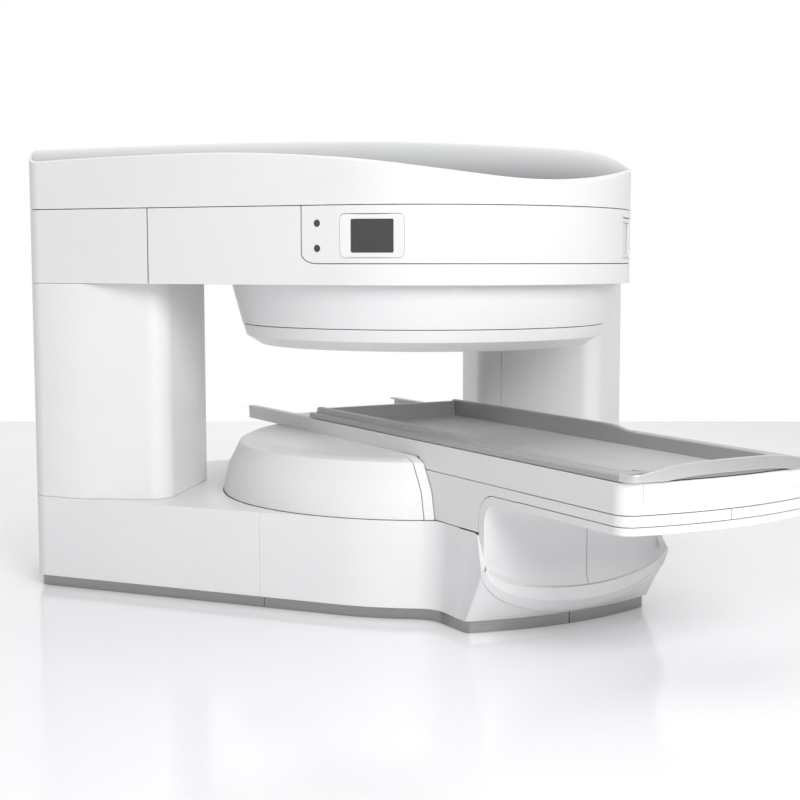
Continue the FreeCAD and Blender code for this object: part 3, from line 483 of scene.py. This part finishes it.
for side_name, side in (("left", 1), ("right", -1)):
    seat = [(side * x, y, z) for x, y, z in ledge_back[:SWEEP_MIDDLE]]
    seat.append((-side * HALF_JOINT, *ledge_back[SWEEP_MIDDLE][1:]))
    rows = [seat] + [
        wall_row(side, forward, level)
        for forward, level in (
            (0.016, 0.03),
            (0.006, 0.09),
            (0.0, 0.2),
            (0.0, 0.5),
            (0.0, 1.0),
        )
    ]
    for bend in (15, 30, 45, 60, 75, 90):
        turn = math.radians(bend)
        forward = WALL_BEND * (1 - math.cos(turn))
        level = UNDERSIDE - WALL_BEND + WALL_BEND * math.sin(turn)
        row = wall_row(side, forward, 1.0)
        rows.append([(x, y, level) for x, y, z in row])
    wall = lofted(rows, (0, -1, -0.2))
    name = "pedestal_wall_" + side_name
    piece = settle(
        name, wall, "gantry", "white_cover", white_paint, "pedestal_front_" + side_name
    )
    thicken(piece, LEDGE_WALL)

# ---------------------------------------------------------------- bed sides
# Under the bed hang a belly cover with a rounded arch at the pedestal, and a thin
# side panel each side whose edge runs round that arch with a narrow joint.
SIDE_FACE = 0.432
PANEL_WALL = 0.010
ARCH_BEND = 0.10
BELLY_REAR = -1.40
BAND_INSET = 0.0002
BELLY_EDGE = 0.004


def side_plate(corners, bends, side, inset=0.0):
    """A flat plate on the bed's side, with some corners rounded, given as (y, z) places."""
    mesh = bmesh.new()
    points = [mesh.verts.new((0, y, z)) for y, z in corners]
    mesh.faces.new(points)
    for index, radius in bends:
        rounded(mesh, [points[index]], radius, 12, affect="VERTICES")
    swept = bmesh.ops.extrude_face_region(mesh, geom=mesh.faces[:])
    pushed = [item for item in swept["geom"] if isinstance(item, bmesh.types.BMVert)]
    bmesh.ops.translate(mesh, verts=pushed, vec=(PANEL_WALL, 0, 0))
    bmesh.ops.translate(mesh, verts=mesh.verts, vec=(-SIDE_FACE + inset, 0, 0))
    if side < 0:
        bmesh.ops.scale(mesh, verts=mesh.verts, vec=(-1, 1, 1))
    bmesh.ops.recalc_face_normals(mesh, faces=mesh.faces)
    round_edges(mesh, PLATE_EDGE)
    return mesh


def merge_into(whole, part):
    """Adds one bmesh to another."""
    carried = bpy.data.meshes.new("carried")
    part.to_mesh(carried)
    part.free()
    whole.from_mesh(carried)
    bpy.data.meshes.remove(carried)


PANEL_CORNERS = (
    (-0.740, 0.410),
    (-1.1375, 0.410),
    (-1.1375, 0.5665),
    (BELLY_REAR, 0.5665),
    (BELLY_REAR, 0.6055),
    (-0.740, 0.6055),
)
BAND_CORNERS = (
    (-1.1405, 0.330),
    (-1.1405, 0.5635),
    (BELLY_REAR, 0.5635),
    (BELLY_REAR, 0.5375),
    (-1.178, 0.5375),
    (-1.178, 0.290),
    (-1.165, 0.275),
)
for side_name, side in (("left", 1), ("right", -1)):
    node = "bed_side_panel_" + side_name
    mesh = packed_shape(node)
    cut_across(mesh, BELLY_REAR, 1)
    round_edges(mesh, PLATE_EDGE)
    merge_into(mesh, side_plate(PANEL_CORNERS, ((2, ARCH_BEND + GROOVE),), side))
    settle("bed_side_" + side_name, mesh, "gantry", "white_cover", white_paint, node)
belly = packed_shape("bed_lower_cover")
cut_across(belly, BELLY_REAR, 1)
bmesh.ops.holes_fill(belly, edges=belly.edges, sides=0)
round_edges(belly, BELLY_EDGE, 3)
for side in (1, -1):
    band = side_plate(BAND_CORNERS, ((1, ARCH_BEND), (4, WALL_BEND)), side, BAND_INSET)
    merge_into(belly, band)
settle("bed_belly", belly, "gantry", "white_cover", white_paint, "bed_lower_cover")
roof = bmesh.new()
bmesh.ops.create_cube(
    roof,
    size=1,
    matrix=Matrix.Translation((0, -1.31, 0.551)) @ Matrix.Diagonal((0.842, 0.20, 0.026, 1)),
)
round_edges(roof, COVER_EDGE)
settle("bed_belly_rear", roof, "gantry", "white_cover", white_paint)

# A curved plate is let into the foot end of the bed, under the handle.
NOSE_BOW = 1.6
NOSE_FRONT = -2.0785
NOSE_HALF = 0.36
NOSE_LEVELS = (0.655, 0.716)
NOSE_WALL = 0.0035
nose_columns = [NOSE_HALF * step / 12 for step in range(-12, 13)]
nose = lofted(
    [[(x, NOSE_FRONT + x * x / (2 * NOSE_BOW), z) for x in nose_columns] for z in NOSE_LEVELS],
    (0, -1, 0),
)
nose_piece = settle("bed_nose_plate", nose, "gantry", "white_cover", white_paint)
thicken(nose_piece, NOSE_WALL)

# ---------------------------------------------------------------- crown
# The grey roof panel over the magnet is one thin moulding in glossy paint, dished so
# that its front edge dips in a wave and its back lies almost flat.
DIP_LEVEL = 1.78
ROOF_LEVEL = 1.94
crown_finish, at = begin("crown_grey")
height = at.add("SeparateXYZ", {}, {"Vector": at}, "Z")
# Painted shade: the panel's grey runs from dark at the dip level to light at the roof level, standing in
# for how light falls on the dished panel.
painted_shade_by_height = at.add(
    "MapRange", {"clamp": True}, {"Value": height, "From Min": DIP_LEVEL, "From Max": ROOF_LEVEL}
)
fleck = grain(at, 700)
finish_surface(
    at,
    {
        "Base Color": blend_colours(at, painted_shade_by_height, (0.19, 0.19, 0.20, 1), (0.60, 0.61, 0.61, 1)),
        "Roughness": 0.20 + fleck * 0.08,
        "Coat Weight": 0.5,
        "Coat Roughness": 0.08,
    },
    bump=fleck,
    bump_height=0.0003,
    bump_strength=0.1,
)
mesh = packed_shape("crown_cover")
round_edges(mesh, COVER_EDGE)
settle("crown_moulding", mesh, "gantry", "grey_crown", crown_finish, "crown_cover")

# ---------------------------------------------------------------- kick strips
# A band of brushed stainless sheet runs round the foot, with its brush marks lengthways.
STRIP_EDGE = 0.001
steel_finish, at = begin("brushed_stainless")
streak = grain(at, 6.0, stretch=(1, 1, 180), detail=6.0)
finish_surface(
    at,
    {
        "Base Color": blend_colours(at, streak, grey(0.22), grey(0.36)),
        "Metallic": 1.0,
        "Roughness": 0.18 + streak * 0.14,
    },
    bump=streak,
    bump_height=0.0002,
    bump_strength=0.2,
)
for node in ("kick_strip_left", "kick_strip_right", "kick_strip_front_left", "kick_strip_front_right"):
    mesh = packed_shape(node)
    round_edges(mesh, STRIP_EDGE)
    settle(node + "_band", mesh, "gantry", "brushed_strip", steel_finish, node)

# ---------------------------------------------------------------- displays
# Each side of the gantry's front has a touch screen behind black glass in a white
# frame, and two round indicator lenses beside it.
FRAME_EDGE = 0.003
GLASS_EDGE = 0.0008
glass_finish, at = begin("black_glass")
# Painted reflection: the black is a little lighter in soft patches across the glass, and the glass is a
# little rougher there.
painted_reflection_patches = grain(at, 14.0, stretch=(1, 1, 2))
finish_surface(
    at,
    {
        "Base Color": blend_colours(at, painted_reflection_patches, grey(0.006), grey(0.014)),
        "Roughness": 0.05 + painted_reflection_patches * 0.04,
        "Coat Weight": 1.0,
        "Coat Roughness": 0.02,
    },
)
for side in ("left", "right"):
    mesh = packed_shape("display_bezel_" + side)
    round_edges(mesh, FRAME_EDGE, 3)
    settle(
        "display_frame_" + side, mesh, "gantry", "white_cover", white_paint, "display_bezel_" + side
    )
    mesh = packed_shape("display_glass_" + side)
    round_edges(mesh, GLASS_EDGE)
    settle(
        "display_screen_" + side, mesh, "gantry", "black_glass", glass_finish, "display_glass_" + side
    )
mesh = packed_shape("indicator_lenses")
round_edges(mesh, GLASS_EDGE)
settle("indicator_domes", mesh, "gantry", "black_glass", glass_finish, "indicator_lenses")

# ---------------------------------------------------------------- tabletop
# The sliding tabletop is a moulded tray between two aluminium rails, closed by a cross rail.
rail_finish, at = begin("satin_rail")
streak = grain(at, 5.0, stretch=(120, 1, 120), detail=5.0)
finish_surface(
    at,
    {
        "Base Color": blend_colours(at, streak, grey(0.38), grey(0.43)),
        "Metallic": 0.35,
        "Roughness": 0.32 + streak * 0.08,
    },
    bump=streak,
    bump_height=0.00002,
    bump_strength=0.05,
)
tray_finish, at = begin("tray_composite")
weave = grain(at, 420, detail=3.0)
wear = grain(at, 3.0)
finish_surface(
    at,
    {
        "Base Color": blend_colours(at, wear, grey(0.46), grey(0.53)),
        "Roughness": 0.42 + weave * 0.12,
    },
    bump=weave,
    bump_height=0.0003,
    bump_strength=0.15,
)
RAIL_INNER = 0.361
RAIL_OUTER = 0.432
RAIL_FOOT = 0.6845
RAIL_LOW = 0.745
RAIL_HIGH = 0.767
END_EDGE = 0.003
TRAY_FLOOR = 0.690
RIM_FOOT = 0.7215


def closed_loft(rows, towards):
    """A bar whose skin runs through each row and back to the first, with its ends capped."""
    bar = lofted(rows + rows[:1], towards)
    bmesh.ops.remove_doubles(bar, verts=bar.verts, dist=MERGE)
    bmesh.ops.holes_fill(bar, edges=bar.edges, sides=0)
    bmesh.ops.recalc_face_normals(bar, faces=bar.faces)
    return bar


def rail_loop(y, crest, inner):
    """The rail's section at one place along it: a bead on a flat flange, over a skirt."""
    return [
        (inner, y, RAIL_FOOT),
        (inner, y, crest - 0.004),
        (inner + 0.004, y, crest),
        (inner + 0.022, y, crest),
        (inner + 0.028, y, crest - 0.004),
        (inner + 0.032, y, RAIL_LOW - 0.001),
        (RAIL_OUTER - 0.006, y, RAIL_LOW - 0.001),
        (RAIL_OUTER - 0.001, y, RAIL_LOW - 0.006),
        (RAIL_OUTER - 0.001, y, RIM_FOOT),
        (inner + 0.011, y, RIM_FOOT),
        (inner + 0.011, y, RAIL_FOOT),
    ]


RAIL_STATIONS = (
    (0.323, RAIL_HIGH, RAIL_INNER),
    (-0.90, RAIL_HIGH, RAIL_INNER),
    (-0.97, RAIL_HIGH - 0.004, RAIL_INNER),
    (-1.04, RAIL_LOW + 0.006, RAIL_INNER),
    (-1.10, RAIL_LOW + 0.002, RAIL_INNER),
    (-1.82, RAIL_LOW + 0.002, RAIL_INNER),
    (-1.87, RAIL_LOW + 0.001, 0.352),
    (-1.91, RAIL_LOW, 0.338),
    (-1.95, RAIL_LOW, 0.318),
    (-1.995, RAIL_LOW, 0.300),
)
for side_name, side in (("left", -1), ("right", 1)):
    loops = [rail_loop(*station) for station in RAIL_STATIONS]
    rows = [[loop[index] for loop in loops] for index in range(len(loops[0]))]
    rail = closed_loft(rows, (0, 0, 1))
    if side < 0:
        bmesh.ops.scale(rail, verts=rail.verts, vec=(-1, 1, 1))
        bmesh.ops.recalc_face_normals(rail, faces=rail.faces)
    name = "rail_" + side_name
    settle(name, rail, "table", "rail_aluminium", rail_finish, "table_rail_" + side_name)

mesh = packed_shape("table_end_rail")
round_edges(mesh, END_EDGE, 3)
settle("rail_head_end", mesh, "table", "rail_aluminium", rail_finish, "table_end_rail")

RIM_HALF = 0.312
RIM_COLUMNS = [RIM_HALF * step / 14 for step in range(-14, 15)]


def rim_row(y_middle, y_side, power, z):
    bow = y_side - y_middle
    return [(x, y_middle + bow * abs(x / RIM_HALF) ** power, z) for x in RIM_COLUMNS]


rim_rows = [
    rim_row(-1.990, -1.915, 5, RAIL_FOOT),
    rim_row(-1.990, -1.915, 5, RAIL_LOW - 0.003),
    rim_row(-1.993, -1.918, 5, RAIL_LOW),
    rim_row(-2.066, -2.036, 2, RAIL_LOW),
    rim_row(-2.069, -2.039, 2, RAIL_LOW - 0.003),
    rim_row(-2.069, -2.039, 2, RIM_FOOT),
    rim_row(-2.010, -1.990, 2, RIM_FOOT),
]
rim = closed_loft(rim_rows, (0, 0, 1))
settle("rail_foot_end", rim, "table", "rail_aluminium", rail_finish)

TRAY_HALF = 0.3605
TRAY_SHEET = 0.0055
TRAY_FOOT = -1.995
TRAY_HEAD = 0.29
TRAY_JOINT = -0.86
TRAY_GAP = 0.001
TRAY_EDGE = 0.0012
for name, near, far in (
    ("tray_foot_part", TRAY_FOOT, TRAY_JOINT - TRAY_GAP),
    ("tray_head_part", TRAY_JOINT + TRAY_GAP, TRAY_HEAD),
):
    tray = bmesh.new()
    middle = Matrix.Translation((0, (near + far) / 2, TRAY_FLOOR - TRAY_SHEET / 2))
    bmesh.ops.create_cube(
        tray, size=1, matrix=middle @ Matrix.Diagonal((2 * TRAY_HALF, far - near, TRAY_SHEET, 1))
    )
    round_edges(tray, TRAY_EDGE)
    replaced = ("tabletop",) if name == "tray_foot_part" else ()
    settle(name, tray, "table", "tray_composite", tray_finish, *replaced)

# ---------------------------------------------------------------- handle
# The pull handle is one flat bar of satin stainless, arched over the foot end and bent
# round both corners to the rails.
handle_finish, at = begin("satin_stainless")
streak = grain(at, 7.0, stretch=(1, 60, 90), detail=6.0)
finish_surface(
    at,
    {
        "Base Color": blend_colours(at, streak, grey(0.60), grey(0.68)),
        "Metallic": 1.0,
        "Roughness": 0.20 + streak * 0.08,
    },
    bump=streak,
    bump_height=0.00002,
    bump_strength=0.04,
)
HANDLE_DEPTH = 0.047
HANDLE_WALL = 0.013
HANDLE_CORNER = 0.055
HANDLE_REACH = -2.097
HANDLE_HALF = 0.4315
HANDLE_REAR = -1.992
HANDLE_CREST = 0.785
HANDLE_FALL = 0.037
HANDLE_SPAN = 0.378
HANDLE_EDGE = 0.0035
RIGHT_ANGLED = math.radians(60)
BAR_BOW = 0.045


def handle_course(inset):
    """The bar's line seen from above, from the left rail round to the right one."""
    half = HANDLE_HALF - inset
    front = HANDLE_REACH + inset
    corner_y = front + BAR_BOW
    bend = HANDLE_CORNER - inset
    course = [(-half, HANDLE_REAR), (-half, corner_y + bend)]
    for step in range(1, 7):
        turn = math.radians(90 * step / 6)
        course.append(
            (-half + bend * (1 - math.cos(turn)), corner_y + bend * (1 - math.sin(turn)))
        )
    reach = half - bend
    for step in range(1, 12):
        x = -reach + reach * step / 12
        course.append((x, front + BAR_BOW * (x / reach) ** 2))
    course.append((0.0, front))
    return course + [(-x, y) for x, y in reversed(course[:-1])]


def handle_top(x):
    """The level of the bar's top edge, which arches over the tabletop."""
    return HANDLE_CREST - HANDLE_FALL * min(1.0, abs(x) / HANDLE_SPAN) ** 3


outer = handle_course(0)
inner = handle_course(HANDLE_WALL)
tops = [handle_top(x) for x, y in outer]
feet = [max(top - HANDLE_DEPTH, RIM_FOOT) for top in tops]
handle_rows = [
    [(x, y, top) for (x, y), top in zip(outer, tops)],
    [(x, y, foot) for (x, y), foot in zip(outer, feet)],
    [(x, y, foot) for (x, y), foot in zip(inner, feet)],
    [(x, y, top) for (x, y), top in zip(inner, tops)],
]
handle = closed_loft(handle_rows, (0, -1, 0))
rounded(handle, turning(handle, RIGHT_ANGLED), HANDLE_EDGE, 3, clamp=True)
settle("handle_bar", handle, "table", "handle_steel", handle_finish, "table_handle")

# ---------------------------------------------------------------- magnet
# Behind the covers stand the iron yoke, its posts and bolts, the ferrite discs
# and the resin coils; none of it shows while the covers are on.


def shop_finish(name, dark, light, scale, roughness, metallic, stretch=(1, 1, 1)):
    """A workshop finish that wanders between two colours, for the parts behind the covers."""
    finish, at = begin(name)
    mottle = grain(at, scale, stretch, detail=4.0)
    finish_surface(
        at,
        {
            "Base Color": blend_colours(at, mottle, dark, light),
            "Roughness": roughness + mottle * 0.15,
            "Metallic": metallic,
        },
        bump=mottle,
        bump_height=0.0004,
    )
    return finish


INNER_FINISHES = (
    (
        shop_finish("yoke_paint", (0.06, 0.08, 0.11, 1), (0.10, 0.12, 0.15, 1), 60, 0.45, 0.0),
        ("lower_yoke", "upper_yoke", "yoke_post_left", "yoke_post_right"),
    ),
    (
        shop_finish("ferrite", grey(0.03), grey(0.07), 220, 0.55, 0.1),
        ("lower_magnet", "upper_magnet"),
    ),
    (
        shop_finish("coil_resin", (0.45, 0.30, 0.12, 1), (0.60, 0.44, 0.20, 1), 90, 0.40, 0.0),
        (
            "lower_gradient_coil",
            "upper_gradient_coil",
            "lower_transmit_coil",
            "upper_transmit_coil",
        ),
    ),
    (shop_finish("bolt_steel", grey(0.30), grey(0.45), 400, 0.35, 1.0), ("yoke_bolts",)),
    (
        shop_finish("frame_paint", grey(0.22), grey(0.28), 150, 0.50, 0.0),
        ("bed_frame", "carriage_blocks"),
    ),
    (
        shop_finish("guide_steel", grey(0.45), grey(0.60), 8, 0.22, 1.0, (120, 1, 120)),
        ("guide_rails",),
    ),
    (
        shop_finish("pulley_metal", grey(0.50), grey(0.62), 120, 0.30, 1.0),
        ("drive_pulley", "idler_pulley"),
    ),
    (shop_finish("belt_rubber", grey(0.02), grey(0.035), 500, 0.70, 0.0), ("drive_belt",)),
    (shop_finish("motor_paint", grey(0.03), grey(0.05), 260, 0.45, 0.0), ("drive_motor",)),
)
for finish, nodes in INNER_FINISHES:
    for node in nodes:
        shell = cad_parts[node].data
        shell.materials.clear()
        shell.materials.append(finish)
